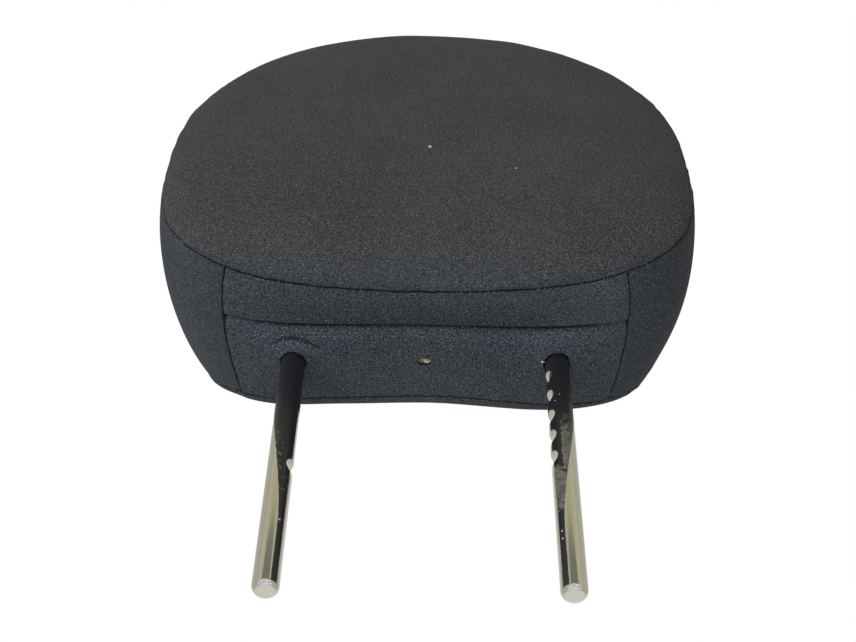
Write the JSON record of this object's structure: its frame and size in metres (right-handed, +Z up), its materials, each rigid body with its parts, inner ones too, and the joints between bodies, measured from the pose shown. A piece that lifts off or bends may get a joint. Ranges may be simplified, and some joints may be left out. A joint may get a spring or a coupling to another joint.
{
  "type": "car headrest",
  "caption": "Padded car headrest in a sewn dark cloth cover, carried by a bent plated bar whose legs are notched seat posts.",
  "frame": {"origin": "midway between the two post axes, in the plane of the flat post ends", "axes": "+Z up along the posts, -Y the way the cushion's face looks, +X to the right of someone looking at the face"},
  "size_m": [0.2722, 0.1193, 0.3765],
  "materials": {
    "plated_steel": "bright plating, dusty near the cushion",
    "cushion_foam": "open-cell moulded foam",
    "face_cloth": "fine twill cloth, charcoal, with a faint fleck",
    "band_cloth": "fine twill cloth, charcoal, with a faint fleck",
    "back_cloth": "fine twill cloth, charcoal, with a faint fleck",
    "closure_plastic": "extruded, matt black",
    "seal_felt": "pressed felt"
  },
  "bodies": {
    "root": {"post_frame": "plated_steel", "foam_core": "cushion_foam", "face_panel": "face_cloth", "side_band": "band_cloth", "back_panel": "back_cloth", "closure_flap": "band_cloth", "post_panel": "band_cloth", "closure_hook_strip": "closure_plastic", "closure_catch_strip": "closure_plastic", "post_seal_left": "seal_felt", "post_seal_right": "seal_felt"}
  },
  "joints": []
}
